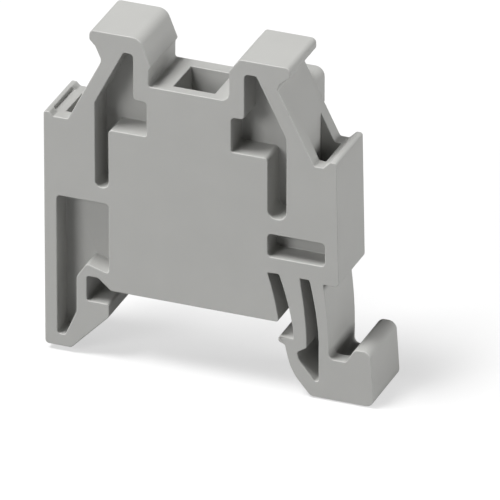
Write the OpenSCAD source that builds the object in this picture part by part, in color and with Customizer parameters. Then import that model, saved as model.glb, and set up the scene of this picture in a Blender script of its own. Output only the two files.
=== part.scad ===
// End stop for a 15 mm mounting rail: one clip-on moulding in polyamide.
// X runs across the rail, Y along it and Z up, away from the rail. The origin is
// on the rail's centre line, at mid-thickness, on the seat that meets the flanges.

/* [Rail] */
// Width of the rail over its flange tips
rail_w = 15; // [14.6:0.1:15.4]
// Thickness of the rail's flanges
flange_t = 1; // [0.8:0.05:1.2]
// Free space between a flange tip and the side of its groove
tip_play = 0.2; // [0.1:0.05:0.4]
// Free space between a flange and the catch below it
catch_play = 0.1; // [0.05:0.05:0.3]

/* [Body] */
// Thickness along the rail
body_t = 5.15; // [4.95:0.05:8]
// Rail centre to the left side
left_w = 10.9; // [10.6:0.05:12]
// Rail centre to the right side, at the shoulder
right_w = 11.15; // [11:0.05:12]
// Height of the shoulders
shoulder_h = 13.35; // [13:0.05:14.2]
// Height of the underside of the right-hand block
block_z = 3.6; // [3.2:0.05:3.75]
// How much wider that block is at its underside
block_flare = 0.2; // [0:0.05:0.4]
// Height of the shelf between the marker hooks
shelf_h = 16.7; // [16.4:0.05:17]
// Rounding of the outer corners
corner_r = 0.3; // [0.1:0.05:0.4]
// Rounding of the inner corners
inner_r = 0.2; // [0.05:0.05:0.3]

/* [Marker hooks] */
// Lean of the arms from upright, in degrees
arm_lean = 27; // [25:0.1:28]
// Height of the left hook
left_hook_h = 20.35; // [20:0.05:21]
// Height of the right hook
right_hook_h = 20.1; // [19.9:0.05:20.8]
// Rail centre to the inner side of the left hook
left_gap = 2.95; // [2.5:0.05:3.2]
// Rail centre to the inner side of the right hook
right_gap = 3.1; // [2.6:0.05:3.3]
// Width of an arm where it meets its hook
neck_w = 3.6; // [3.4:0.02:3.9]
// Height of the necks under the hooks
neck_h = 18.25; // [17.9:0.05:18.5]
// Straight part of the left arm below its neck
left_neck_drop = 0.3; // [0.1:0.05:0.5]
// Rounding between that straight part and the arm's slope
neck_r = 1.5; // [0.5:0.1:2]
// Reach of the left hook past its arm
left_reach = 0.85; // [0.7:0.05:1.2]
// Reach of the right hook past its arm
right_reach = 0.95; // [0.7:0.05:1.2]
// Width of the steep part of the left hook's underside
left_throat_w = 0.4; // [0.2:0.05:0.5]
// Width of the steep part of the right hook's underside
right_throat_w = 0.2; // [0.1:0.05:0.4]
// Lean of those steep parts from upright, in degrees
throat_lean = 24; // [22:1:35]
// Height of the blunt tip of a hook
tip_h = 0.75; // [0.4:0.05:0.8]
// Rounding of the tip's upper corner
tip_r = 0.5; // [0.1:0.05:0.6]
// Height of the marker lip above the shelf
lip_h = 1.5; // [0.9:0.05:1.6]
// Reach of the marker lip
lip_reach = 0.2; // [0.1:0.05:0.4]
// Width of the left hook's lead-in
lead_w = 0.85; // [0.5:0.05:1.2]
// Rounding of the left hook's lead-in
lead_r = 0.85; // [0.4:0.05:1]
// Width of the right hook's chamfer
chamfer_w = 0.8; // [0.5:0.05:1.2]
// Height of the right hook's chamfer
chamfer_h = 1.05; // [0.5:0.05:1.3]
// Rounding between the shelf and the right hook
shelf_r = 0.6; // [0.3:0.05:0.9]

/* [Arm pockets] */
// Depth of the arm pockets, from each face
arm_pocket_d = 2.2; // [1.5:0.05:2.3]
// Wall on the slope of an arm
arm_wall = 1.06; // [0.8:0.01:1.2]
// Wall on the inner side of a hook
hook_wall = 1.15; // [0.9:0.05:1.3]
// Height of the tops of the arm pockets
arm_pocket_z = 19; // [18.7:0.05:19.1]
// How far a pocket steps inward below the shelf
ledge_w = 1; // [0.6:0.05:1.3]
// Wall between that step and the shelf
shelf_wall = 1.25; // [1:0.05:1.6]
// Height of the bottom of that step
ledge_z = 12.75; // [12:0.05:13.4]
// Rail centre to the slot below each arm pocket
slot_x = 6; // [5.8:0.05:6.2]
// Width of the left slot
left_slot_w = 1; // [0.8:0.05:1.2]
// Width of the right slot
right_slot_w = 1.4; // [1:0.05:1.5]
// Height of the bottoms of the slots
slot_z = 8.1; // [7.8:0.1:10]

/* [Side pockets] */
// Depth of the side pockets, from each face
side_pocket_d = 1.85; // [1.2:0.05:2.3]
// Wall on the outer sides
side_wall = 0.95; // [0.8:0.05:1.1]
// Height of the tops of the side pocket and the cross slot
side_pocket_z = 6.85; // [6.5:0.05:7.1]
// Wall round the rail groove
groove_wall = 0.78; // [0.6:0.02:0.9]
// Height of the cross slot from bottom to top
cross_slot_h = 1.8; // [1.4:0.05:2]

/* [Cores from above] */
// Width of the parking slot in the shelf
parking_w = 3.1; // [2.5:0.1:3.4]
// Offset of the parking slot from the rail centre
parking_x = 0.2; // [0:0.05:0.5]
// Wall in front of the parking slot
parking_wall = 0.8; // [0.6:0.05:1.1]
// Wall behind the parking slot
parking_back = 1.05; // [0.8:0.05:1.4]
// Depth of the parking slot
parking_d = 6; // [3:0.5:8]
// Width of the left shoulder's core
left_core_w = 1.4; // [1:0.05:1.5]
// Wall outside the left core
left_core_wall = 1.3; // [1:0.05:1.5]
// Width of the right shoulder's core
right_core_w = 1.55; // [1.3:0.05:1.8]
// Wall outside the right core
right_core_wall = 1.2; // [0.9:0.05:1.3]
// Wall in front of and behind a core
core_wall = 1.1; // [0.8:0.05:1.4]
// Depth of a core below its shoulder
core_d = 4.5; // [3:0.1:4.8]
// Width of the raised rim of a shoulder
rim_w = 0.45; // [0.3:0.05:0.5]
// Height of the left shoulder's rim
left_rim_h = 0.3; // [0.2:0.05:0.5]
// Height of the right shoulder's rim
right_rim_h = 0.55; // [0.3:0.05:0.6]

/* [Fixed claw] */
// Depth of the left leg below the seat
leg_d = 5.1; // [4.6:0.1:6]
// Free height over the left flange, for tilting the part on
tilt_h = 0.85; // [0.6:0.05:1]
// Width of that free space, up to the seat
tilt_w = 1.85; // [1.6:0.05:2.2]
// Reach of the claw under the flange
claw_reach = 1.5; // [1:0.1:1.8]
// Thickness of the claw at its tip
claw_t = 1; // [0.7:0.1:1.4]
// Width of the end of the left leg
leg_end_w = 2; // [1.7:0.1:2.3]

/* [Spring foot] */
// Free space between the flange tip and the leaf
leaf_play = 0.45; // [0.3:0.05:0.6]
// How far the leaf swings out over its length
leaf_swing = 1.1; // [0.8:0.05:1.2]
// Thickness of the leaf at its root
leaf_root_t = 1.55; // [1.2:0.05:1.7]
// Thickness of the leaf at the catch
leaf_tip_t = 1; // [0.8:0.05:1.2]
// Thickness of the outer leg at its root
leg_root_t = 1.05; // [0.9:0.05:1.2]
// Thickness of the outer leg at the toe
leg_tip_t = 0.77; // [0.65:0.01:0.9]
// Width of the slot between the body and the leaf, at its top
slot_root_w = 0.87; // [0.7:0.01:1]
// Width of that slot beside the catch
spring_slot_w = 1; // [0.8:0.05:1.1]
// Width of the window between the leaf and the outer leg, at its top
window_root_w = 0.73; // [0.6:0.01:0.9]
// Width of that window beside the catch
window_w = 0.9; // [0.75:0.05:1]
// Height of the tops of the slot and the window
root_z = 3.8; // [3.8:0.05:4.1]
// Reach of the spring catch under the flange
catch_reach = 0.7; // [0.4:0.05:1]
// Depth of the end of the leaf below the seat
leaf_d = 1.65; // [1.5:0.05:1.8]
// Thickness of the latch nose at its tip
nose_t = 0.4; // [0.3:0.05:0.6]
// Depth of the toe's bend below the seat
toe_bend_d = 3.65; // [3.4:0.05:3.9]
// Rounding of that bend
toe_r = 5; // [1:0.5:8]
// Thickness of the toe
toe_t = 0.95; // [0.8:0.05:1.05]
// Thickness of the bottom of the foot
foot_t = 1.25; // [1:0.05:1.4]
// Depth of the foot below the seat
foot_d = 5.4; // [5.3:0.05:6]
// Rail centre to the outer side of the foot
foot_w = 14.05; // [13.6:0.05:15]
// How much narrower the foot is at the top of its screwdriver hook
foot_taper = 0.3; // [0:0.05:0.5]
// Width of the screwdriver gap at its bottom
grip_gap = 1.3; // [1.1:0.05:1.5]
// Depth of the bottom of that gap below the seat
grip_z = 2.2; // [2:0.05:2.6]
// Wall in front of the deeper part of that gap
grip_web = 1.1; // [0.8:0.1:1.6]
// How much deeper the gap is behind that wall
grip_well = 1.15; // [0.6:0.05:1.5]
// Height of the screwdriver hook above the bottom of the gap
grip_h = 1.12; // [0.6:0.02:1.4]
// Width of the top of that hook, corners included
grip_w = 1.5; // [1.3:0.05:1.7]

/* [Rear lug] */
// Width of the lug behind the right arm
lug_w = 2.4; // [1.6:0.1:2.8]
// Height of the lug
lug_h = 2.8; // [1.8:0.1:3]
// Rounding of the lug's upper corners
lug_r = 0.7; // [0.2:0.1:0.9]
// How far the lug stands out behind
lug_d = 2.3; // [1:0.1:2.6]

/* [Hidden] */
arc_steps = 6;
slope_steps = 8;
overcut = 0.5;
groove_x = rail_w / 2 + tip_play;
catch_z = -(flange_t + catch_play);
left_neck = [left_gap + neck_w, neck_h - left_neck_drop];
right_neck = [right_gap + neck_w, neck_h];
left_floor_z = shoulder_h - left_rim_h;
right_floor_z = shoulder_h - right_rim_h;
leaf_x = rail_w / 2 + leaf_play;
leg_x = leaf_x + leaf_tip_t + window_w;
leg_outer_x = leg_x + leg_tip_t;
core_l = body_t - 2 * core_wall;

// Distance from the rail centre of an arm's sloping side at height z
function arm_side(neck, z) = neck.x + (neck.y - z) * tan(arm_lean);

// Share of the leaf's swing at height z: none at the catch, all of it at the root
function swing(z) = pow(max(0, z - catch_z) / (root_z - catch_z), 1.6);
function leaf_inner(z) = leaf_x - leaf_swing * swing(z);
function between(at_catch, at_root, z) = at_catch + (at_root - at_catch) * swing(z);
function slot_inner(z) = leaf_inner(z) - between(spring_slot_w, slot_root_w, z);
function leaf_outer(z) = leaf_inner(z) + between(leaf_tip_t, leaf_root_t, z);
function leg_inner(z) = leaf_outer(z) + between(window_w, window_root_w, z);
function leg_outer(z) = leg_inner(z) + between(leg_tip_t, leg_root_t, z);
function heights(from, to) = [for (i = [0:slope_steps]) from + (to - from) * i / slope_steps];

// An outline is a list of [x, z, radius]: each corner is rounded by its radius,
// as far as the edges that meet there leave room for it
function corner_arc(a, b, c, r) =
    let(
        u = (a - b) / norm(a - b),
        v = (c - b) / norm(c - b),
        half = acos(max(-1, min(1, u * v))) / 2,
        run = min(r / tan(half), norm(a - b) / 2, norm(c - b) / 2),
        hub = b + (u + v) / norm(u + v) * run / cos(half),
        start = b + u * run - hub,
        turn = (180 - 2 * half) * sign(u.x * v.y - u.y * v.x)
    )
    [for (i = [0:arc_steps])
        let(t = -turn * i / arc_steps)
        hub + [start.x * cos(t) - start.y * sin(t), start.x * sin(t) + start.y * cos(t)]];

function xz(p) = [p.x, p.y];
function rounded(path) =
    let(n = len(path))
    [for (i = [0:n - 1])
        let(a = xz(path[(i + n - 1) % n]), b = xz(path[i]), c = xz(path[(i + 1) % n]))
        each (path[i].z > 0 ? corner_arc(a, b, c, path[i].z) : [b])];

function mirrored(path) = [for (i = [len(path) - 1:-1:0]) [-path[i].x, path[i].y, path[i].z]];

// Outer side of a hook down to its neck, for a side that grows with x
function head_path(neck_x, hook_h, reach, throat_w) = [
    [neck_x + reach, hook_h, tip_r],
    [neck_x + reach, hook_h - tip_h, corner_r],
    [neck_x + throat_w, neck_h + throat_w / tan(throat_lean), inner_r],
    [neck_x, neck_h, inner_r],
];

left_path = concat(
    [
        [-left_w, -leg_d, corner_r],
        [-left_w, shoulder_h, inner_r],
        [-left_w + rim_w, shoulder_h, 0],
        [-left_w + rim_w + left_rim_h, left_floor_z, 0],
        [-arm_side(left_neck, left_floor_z), left_floor_z, inner_r],
        [-left_neck.x, left_neck.y, neck_r],
    ],
    mirrored(head_path(left_neck.x, left_hook_h, left_reach, left_throat_w)),
    [
        [-left_gap + lip_reach - lead_w, left_hook_h, lead_r],
        [-left_gap + lip_reach, shelf_h + lip_h, inner_r],
        [-left_gap, shelf_h + lip_h - lip_reach, inner_r],
        [-left_gap, shelf_h, inner_r],
    ]
);

right_path = concat(
    [
        [right_gap, shelf_h, shelf_r],
        [right_gap, right_hook_h - chamfer_h, corner_r],
        [right_gap + chamfer_w, right_hook_h, corner_r],
    ],
    head_path(right_neck.x, right_hook_h, right_reach, right_throat_w),
    [
        [arm_side(right_neck, right_floor_z), right_floor_z, inner_r],
        [right_w - rim_w - right_rim_h, right_floor_z, 0],
        [right_w - rim_w, shoulder_h, 0],
        [right_w, shoulder_h, inner_r],
        [right_w + block_flare, block_z, corner_r],
    ]
);

foot_path = concat(
    [for (z = heights(block_z, catch_z)) [leg_outer(z), z, 0]],
    [
        [leg_outer_x, -grip_z, grip_gap / 3],
        [leg_outer_x + grip_gap, -grip_z, corner_r],
        [foot_w - grip_w, grip_h - grip_z, grip_h / 2],
        [foot_w - foot_taper, grip_h - grip_z, grip_w / 2],
        [foot_w, -foot_d, 2 * corner_r],
        [leg_x - 2 * corner_r, -foot_d, 2 * corner_r],
        [leaf_x - inner_r, -toe_bend_d, toe_r],
        [rail_w / 2 - tip_play, catch_z - nose_t - inner_r, inner_r],
        [rail_w / 2 - catch_reach, catch_z - nose_t, inner_r],
        [rail_w / 2 - catch_reach, catch_z, inner_r],
    ],
    [for (z = heights(catch_z, root_z - inner_r)) [leaf_inner(z), z, 0]],
    [
        [leaf_inner(root_z), root_z, inner_r],
        [slot_inner(root_z), root_z, inner_r],
    ],
    [for (z = heights(root_z - inner_r, overcut)) [slot_inner(z), z, 0]]
);

claw_path = [
    [slot_inner(0), 0, inner_r],
    [-groove_x + tilt_w, 0, corner_r],
    [-groove_x + tilt_h, tilt_h, corner_r],
    [-groove_x, tilt_h, inner_r],
    [-groove_x, catch_z, inner_r],
    [-rail_w / 2 + claw_reach, catch_z, inner_r],
    [-rail_w / 2 + claw_reach, catch_z - claw_t, corner_r],
    [-left_w + leg_end_w, -leg_d, corner_r],
];

module outline() {
    polygon(rounded(concat(left_path, right_path, foot_path, claw_path)));
}

// Window between the leaf and the outer leg, which runs down into the toe
module spring_window() {
    polygon(rounded(concat(
        [
            [leaf_outer(root_z), root_z, inner_r],
            [leg_inner(root_z), root_z, inner_r],
        ],
        [for (z = heights(root_z - inner_r, catch_z)) [leg_inner(z), z, 0]],
        [
            [leg_x, foot_t - foot_d, corner_r],
            [leg_x - corner_r, foot_t - foot_d, inner_r],
            [leaf_x + 2 * inner_r, toe_t - toe_bend_d, 2],
            [leaf_x + corner_r, -leaf_d - toe_t / 2, inner_r],
            [leaf_x + leaf_tip_t, -leaf_d, inner_r],
        ],
        [for (z = heights(catch_z, root_z - inner_r)) [leaf_outer(z), z, 0]]
    )));
}

// Pocket in one arm, with the slot that runs down from it
function pocket_path(neck, gap, slot_w) =
    let(
        inner_x = gap + hook_wall,
        slot_outer = slot_x + slot_w,
        pocket_neck = [neck.x - arm_wall / cos(arm_lean), neck.y],
        slope_z = neck.y - (slot_outer - pocket_neck.x) / tan(arm_lean)
    )
    [
        [inner_x, arm_pocket_z, corner_r],
        [arm_side(pocket_neck, arm_pocket_z), arm_pocket_z, inner_r],
        [slot_outer, slope_z, 0],
        [slot_outer, slot_z, slot_w / 2.2],
        [slot_x, slot_z, slot_w / 2.2],
        [slot_x, ledge_z, corner_r],
        [inner_x - ledge_w, ledge_z, inner_r],
        [inner_x - ledge_w, shelf_h - shelf_wall, corner_r],
        [inner_x, shelf_h - shelf_wall, corner_r],
    ];

module arm_pockets() {
    polygon(rounded(pocket_path(right_neck, right_gap, right_slot_w)));
    mirror([1, 0]) polygon(rounded(pocket_path(left_neck, left_gap, left_slot_w)));
}

// Pocket in the left side, which runs down into the leg round the rail groove
module side_pocket() {
    outer_x = -left_w + side_wall;
    rib_x = -groove_x - groove_wall;
    rib_z = tilt_h + groove_wall;
    polygon(rounded([
        [outer_x, side_pocket_z, corner_r],
        [-slot_x, side_pocket_z, corner_r],
        [-slot_x, rib_z - corner_r, inner_r],
        [-groove_x, rib_z + inner_r, corner_r],
        [rib_x, tilt_h - inner_r, 2 * corner_r],
        [rib_x, catch_z - claw_t, corner_r],
        [-left_w + leg_end_w - side_wall / 2, -leg_d + side_wall, inner_r],
        [outer_x, -leg_d + side_wall, inner_r],
    ]));
}

module cross_slot() {
    outer_x = right_w + block_flare / 2 - side_wall;
    bottom_z = side_pocket_z - cross_slot_h;
    polygon(rounded([
        [slot_x, bottom_z, corner_r],
        [slot_x, side_pocket_z, corner_r],
        [outer_x, side_pocket_z, corner_r],
        [outer_x, bottom_z, corner_r],
    ]));
}

// Stands an outline up, from y_from to y_to
module upright(y_from, y_to) {
    translate([0, y_to, 0]) rotate([90, 0, 0]) linear_extrude(height = y_to - y_from) children();
}

// Sinks an outline into the front and the rear face alike
module sunk(depth) {
    for (side = [0, 1])
        mirror([0, side, 0])
            upright(-body_t / 2 - overcut, -body_t / 2 + depth) children();
}

module parking_slot() {
    slot_l = body_t - parking_wall - parking_back;
    translate([parking_x - parking_w / 2, -body_t / 2 + parking_wall, shelf_h - parking_d])
        cube([parking_w, slot_l, parking_d + overcut]);
}

// Core in a shoulder, cut from above through the foot of the arm
module shoulder_core(inner_x, width, floor_z) {
    translate([inner_x, -core_l / 2, floor_z - core_d]) cube([width, core_l, core_d + shelf_h]);
}

// Shallow recess that leaves the rim of the left shoulder standing
module left_recess() {
    translate([-left_w + rim_w, -core_l / 2 - inner_r, left_floor_z])
        cube([left_core_wall, core_l + 2 * inner_r, shelf_h]);
}

// Deeper part of the screwdriver gap, behind its front wall
module grip_core() {
    gap_x = leg_outer_x + grip_gap;
    upright(-body_t / 2 + grip_web, body_t / 2 + overcut)
        polygon(rounded([
            [leg_outer_x, corner_r - grip_z, 0],
            [gap_x, corner_r - grip_z, 0],
            [gap_x, -grip_z - grip_well, corner_r],
            [leg_outer_x, -grip_z - grip_well, grip_gap / 3],
        ]));
}

module rear_lug() {
    lug_x = slot_x + right_slot_w;
    upright(body_t / 2 - arm_pocket_d - overcut / 2, body_t / 2 + lug_d)
        polygon(rounded([
            [lug_x - lug_w, shelf_h - lug_h, inner_r],
            [lug_x - lug_w, shelf_h, lug_r],
            [lug_x, shelf_h, lug_r],
            [lug_x, shelf_h - lug_h, inner_r],
        ]));
}

module end_stop() {
    color("#a9aaa8")
    union() {
        difference() {
            upright(-body_t / 2, body_t / 2) difference() {
                outline();
                spring_window();
            }
            sunk(arm_pocket_d) arm_pockets();
            sunk(side_pocket_d) side_pocket();
            sunk(side_pocket_d) cross_slot();
            parking_slot();
            shoulder_core(-left_w + left_core_wall, left_core_w, left_floor_z);
            shoulder_core(right_w - right_core_wall - right_core_w, right_core_w, right_floor_z);
            left_recess();
            grip_core();
        }
        rear_lug();
    }
}

end_stop();
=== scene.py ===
import math
import bpy
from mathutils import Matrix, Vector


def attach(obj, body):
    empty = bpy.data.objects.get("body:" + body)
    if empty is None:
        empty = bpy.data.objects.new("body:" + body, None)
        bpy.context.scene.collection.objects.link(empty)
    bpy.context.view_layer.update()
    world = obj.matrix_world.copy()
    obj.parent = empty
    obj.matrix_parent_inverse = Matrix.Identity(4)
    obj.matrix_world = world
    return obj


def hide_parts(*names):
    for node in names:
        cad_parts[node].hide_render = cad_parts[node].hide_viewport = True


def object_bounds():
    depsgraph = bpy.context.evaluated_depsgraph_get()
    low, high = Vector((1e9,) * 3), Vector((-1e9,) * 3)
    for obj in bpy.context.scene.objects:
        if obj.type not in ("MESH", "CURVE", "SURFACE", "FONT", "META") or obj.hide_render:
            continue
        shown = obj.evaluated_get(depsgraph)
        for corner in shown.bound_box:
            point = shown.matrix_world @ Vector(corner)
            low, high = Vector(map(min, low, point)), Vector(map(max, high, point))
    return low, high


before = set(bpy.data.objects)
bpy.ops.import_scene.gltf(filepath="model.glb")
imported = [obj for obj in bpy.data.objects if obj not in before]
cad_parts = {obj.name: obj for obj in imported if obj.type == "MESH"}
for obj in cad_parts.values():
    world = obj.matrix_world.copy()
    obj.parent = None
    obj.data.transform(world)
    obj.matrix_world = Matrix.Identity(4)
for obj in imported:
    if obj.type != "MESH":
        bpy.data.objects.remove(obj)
cad_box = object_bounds()


# --- Moulding ---------------------------------------------------------------
# The end stop is one injection moulding in grey polyamide. Every edge has the
# small radius that the mould leaves, so the solid gets rounded edges here.
EDGE_ROUNDING = 0.00007
EDGE_STEPS = 3
SHORTEST_EDGE = 0.00003
SAME_POINT = 0.000001
FLAT_ANGLE = math.radians(0.5)
SHARP_ANGLE = math.radians(28)

bpy.ops.object.select_all(action="DESELECT")
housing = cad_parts["end_stop"]
housing.select_set(True)
bpy.context.view_layer.objects.active = housing
bpy.ops.object.duplicate()
moulding = bpy.context.active_object
moulding.name = "moulding"
bpy.ops.object.mode_set(mode="EDIT")
bpy.ops.mesh.select_all(action="SELECT")
bpy.ops.mesh.remove_doubles(threshold=SAME_POINT)
bpy.ops.mesh.dissolve_limited(angle_limit=FLAT_ANGLE)
bpy.ops.mesh.select_mode(type="EDGE")
bpy.ops.mesh.select_all(action="DESELECT")
bpy.ops.object.mode_set(mode="OBJECT")

# Edges that are too short to be rounded are merged into points.
points = moulding.data.vertices
for edge in moulding.data.edges:
    start, end = (points[i].co for i in edge.vertices)
    edge.select = (end - start).length < SHORTEST_EDGE
bpy.ops.object.mode_set(mode="EDIT")
bpy.ops.mesh.merge(type="COLLAPSE")
bpy.ops.mesh.select_all(action="SELECT")
bpy.ops.mesh.normals_make_consistent(inside=False)
bpy.ops.object.mode_set(mode="OBJECT")

bpy.ops.object.shade_smooth_by_angle(angle=SHARP_ANGLE)
rounding = moulding.modifiers.new("rounding", "BEVEL")
rounding.width = EDGE_ROUNDING
rounding.segments = EDGE_STEPS
rounding.limit_method = "ANGLE"
rounding.angle_limit = SHARP_ANGLE
rounding.use_clamp_overlap = False
rounding.harden_normals = True
bpy.ops.object.modifier_apply(modifier=rounding.name)
triangles = moulding.modifiers.new("triangles", "TRIANGULATE")
triangles.keep_custom_normals = True
bpy.ops.object.modifier_apply(modifier=triangles.name)

# Grey polyamide with a fine matte grain. Its colour and its gloss drift a little
# where the melt has flowed.
POLYAMIDE = (0.435, 0.435, 0.42, 1.0)
POLYAMIDE_DARK = (0.40, 0.40, 0.387, 1.0)
FLOW_SCALE = 320.0
FLOW_DETAIL = 3.0
GRAIN_SCALE = 9000.0
GRAIN_DETAIL = 2.0
GRAIN_STRENGTH = 0.12
GRAIN_DEPTH = 0.00002
ROUGHNESS_MIN = 0.46
ROUGHNESS_MAX = 0.58

polyamide = bpy.data.materials.new("grey_polyamide")
polyamide.use_nodes = True
nodes = polyamide.node_tree.nodes
links = polyamide.node_tree.links
surface = nodes["Principled BSDF"]
place = nodes.new("ShaderNodeTexCoord")

flow = nodes.new("ShaderNodeTexNoise")
flow.inputs["Scale"].default_value = FLOW_SCALE
flow.inputs["Detail"].default_value = FLOW_DETAIL
links.new(place.outputs["Object"], flow.inputs["Vector"])
tone = nodes.new("ShaderNodeMix")
tone.data_type = "RGBA"
tone.inputs["A"].default_value = POLYAMIDE_DARK
tone.inputs["B"].default_value = POLYAMIDE
links.new(flow.outputs["Fac"], tone.inputs["Factor"])
links.new(tone.outputs["Result"], surface.inputs["Base Color"])

grain = nodes.new("ShaderNodeTexNoise")
grain.inputs["Scale"].default_value = GRAIN_SCALE
grain.inputs["Detail"].default_value = GRAIN_DETAIL
links.new(place.outputs["Object"], grain.inputs["Vector"])
texture = nodes.new("ShaderNodeBump")
texture.inputs["Strength"].default_value = GRAIN_STRENGTH
texture.inputs["Distance"].default_value = GRAIN_DEPTH
links.new(grain.outputs["Fac"], texture.inputs["Height"])
links.new(texture.outputs["Normal"], surface.inputs["Normal"])

matte = nodes.new("ShaderNodeMapRange")
matte.inputs["To Min"].default_value = ROUGHNESS_MIN
matte.inputs["To Max"].default_value = ROUGHNESS_MAX
links.new(flow.outputs["Fac"], matte.inputs["Value"])
links.new(matte.outputs["Result"], surface.inputs["Roughness"])

moulding.data.materials.clear()
moulding.data.materials.append(polyamide)
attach(moulding, "root")
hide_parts("end_stop")


# --- Floor ------------------------------------------------------------------
# A plain pale sheet at the level of the foot and the leg. It shows as white and
# still takes the soft shadow under the part.
FLOOR_SIZE = 4.0
FLOOR_COLOUR = (0.34, 0.34, 0.34, 1.0)
FLOOR_LIFT = 0.58
FLOOR_GAP = 0.0001

bpy.ops.object.select_all(action="DESELECT")
bpy.ops.mesh.primitive_plane_add(size=FLOOR_SIZE, location=(0, 0, 0))
floor = bpy.context.active_object
floor.name = "floor"
bpy.ops.object.mode_set(mode="EDIT")
bpy.ops.transform.translate(value=(0, 0, cad_box[0][2] - FLOOR_GAP))
bpy.ops.object.mode_set(mode="OBJECT")

paper = bpy.data.materials.new("pale_floor")
paper.use_nodes = True
nodes = paper.node_tree.nodes
links = paper.node_tree.links
sheet = nodes["Principled BSDF"]
sheet.inputs["Base Color"].default_value = FLOOR_COLOUR
sheet.inputs["Roughness"].default_value = 1.0
sheet.inputs["Specular IOR Level"].default_value = 0.0
seen = nodes.new("ShaderNodeLightPath")
lift = nodes.new("ShaderNodeMath")
lift.operation = "MULTIPLY"
lift.inputs[1].default_value = FLOOR_LIFT
links.new(seen.outputs["Is Camera Ray"], lift.inputs[0])
glow = nodes.new("ShaderNodeEmission")
links.new(lift.outputs["Value"], glow.inputs["Strength"])
both = nodes.new("ShaderNodeAddShader")
links.new(sheet.outputs["BSDF"], both.inputs[0])
links.new(glow.outputs["Emission"], both.inputs[1])
links.new(both.outputs["Shader"], nodes["Material Output"].inputs["Surface"])
floor.data.materials.append(paper)


# --- Light ------------------------------------------------------------------
# Soft studio light: a broad lamp above the left side, weaker ones at the front
# left and at the right, and an even sky. The camera sees the sky as white.
SKY_LEVEL = 0.05
LAMPS = {
    "key": {"place": (-0.25, -0.14, 0.63), "width": 0.26, "watts": 5.6},
    "front": {"place": (-0.30, -0.57, 0.26), "width": 0.26, "watts": 2.25},
    "side": {"place": (0.65, 0.07, 0.245), "width": 0.30, "watts": 3.0},
}

for name, lamp in LAMPS.items():
    bpy.ops.object.light_add(type="AREA", location=lamp["place"])
    light = bpy.context.active_object
    light.name = name
    light.data.size = lamp["width"]
    light.data.energy = lamp["watts"]
    x, y, z = lamp["place"]
    light.rotation_euler = (math.atan2(math.hypot(x, y), z), 0, math.atan2(x, -y))

sky = bpy.data.worlds.new("sky")
bpy.context.scene.world = sky
sky.use_nodes = True
nodes = sky.node_tree.nodes
links = sky.node_tree.links
seen = nodes.new("ShaderNodeLightPath")
shown = nodes.new("ShaderNodeMath")
shown.operation = "MAXIMUM"
links.new(seen.outputs["Is Camera Ray"], shown.inputs[0])
links.new(seen.outputs["Is Transmission Ray"], shown.inputs[1])
level = nodes.new("ShaderNodeMapRange")
level.inputs["To Min"].default_value = SKY_LEVEL
level.inputs["To Max"].default_value = 1.0
links.new(shown.outputs["Value"], level.inputs["Value"])
background = nodes["Background"]
background.inputs["Color"].default_value = (1.0, 1.0, 1.0, 1.0)
links.new(level.outputs["Result"], background.inputs["Strength"])


# --- Camera -----------------------------------------------------------------
# A long lens from the front right, a little above the part.
TURN = math.radians(21.809)
RISE = math.radians(27.985)
ROLL = math.radians(-0.122)
DISTANCE = 0.9
AIM = (0.0, cad_box[0][1], 0.0)
LENS = 921.2
SHIFT_X = 0.1241
SHIFT_Y = 0.1111
NEAREST = 0.01
FARTHEST = 10.0

look = (
    -math.sin(TURN) * math.cos(RISE),
    math.cos(TURN) * math.cos(RISE),
    -math.sin(RISE),
)
bpy.ops.object.camera_add(
    location=[a - DISTANCE * b for a, b in zip(AIM, look)],
    rotation=(math.pi / 2 - RISE, 0, TURN),
)
camera = bpy.context.active_object
camera.rotation_euler.rotate_axis("Z", ROLL)
camera.data.lens = LENS
camera.data.shift_x = SHIFT_X
camera.data.shift_y = SHIFT_Y
camera.data.clip_start = NEAREST
camera.data.clip_end = FARTHEST
bpy.context.scene.camera = camera
bpy.context.scene.view_settings.view_transform = "Standard"
